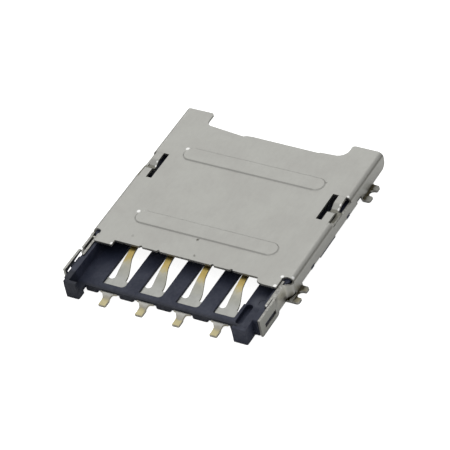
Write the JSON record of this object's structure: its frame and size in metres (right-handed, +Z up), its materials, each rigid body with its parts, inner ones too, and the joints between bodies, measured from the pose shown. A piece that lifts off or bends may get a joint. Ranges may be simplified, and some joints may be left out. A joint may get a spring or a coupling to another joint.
{
  "type": "micro card socket",
  "caption": "Flat push-in socket for a small subscriber card: moulded frame with sprung contacts under a folded sheet cover, soldered to a board.",
  "frame": {"origin": "middle of the socket's footprint, on the board", "axes": "+Z up from the board, +Y out of the card mouth, +X to the right with the card mouth at the back"},
  "size_m": [0.0146, 0.0162, 0.0014],
  "materials": {
    "housing_plastic": "dark blue-black moulded heat-resistant plastic, fine satin",
    "cover_steel": "satin stainless sheet, nickel plated",
    "contact_metal": "copper alloy strip, satin nickel plate, gold at the tips and on the tails"
  },
  "bodies": {
    "root": {"housing": "housing_plastic", "cover_shell": "cover_steel", "contact_front_1": "contact_metal", "contact_front_2": "contact_metal", "contact_front_3": "contact_metal", "contact_front_4": "contact_metal", "contact_rear_1": "contact_metal", "contact_rear_2": "contact_metal", "contact_rear_3": "contact_metal", "contact_rear_4": "contact_metal"}
  },
  "joints": []
}
